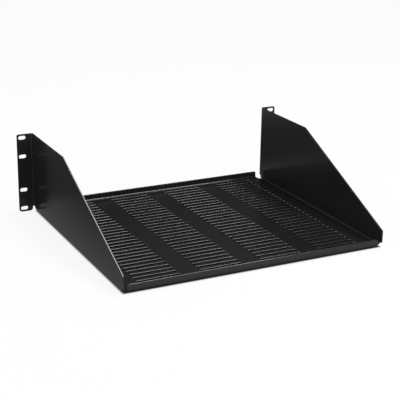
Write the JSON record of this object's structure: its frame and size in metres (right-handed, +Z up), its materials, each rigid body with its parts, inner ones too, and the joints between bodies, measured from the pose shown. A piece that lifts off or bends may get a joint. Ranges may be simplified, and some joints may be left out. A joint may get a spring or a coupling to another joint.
{
  "type": "cantilever rack shelf",
  "caption": "Cantilever rack shelf folded from sheet steel: slotted tray, sloping side walls, turned-up end lips and slotted mounting ears.",
  "frame": {"origin": "centre of the rack-hole pattern, on the face of the ears that meets the rack rails", "axes": "+X across the rack, +Y from the rails along the tray to its open end, +Z up"},
  "size_m": [0.4826, 0.383, 0.1324],
  "materials": {
    "black_powder_coat": "semi-gloss black powder coat"
  },
  "bodies": {
    "root": {"folded_shelf": "black_powder_coat"}
  },
  "joints": []
}
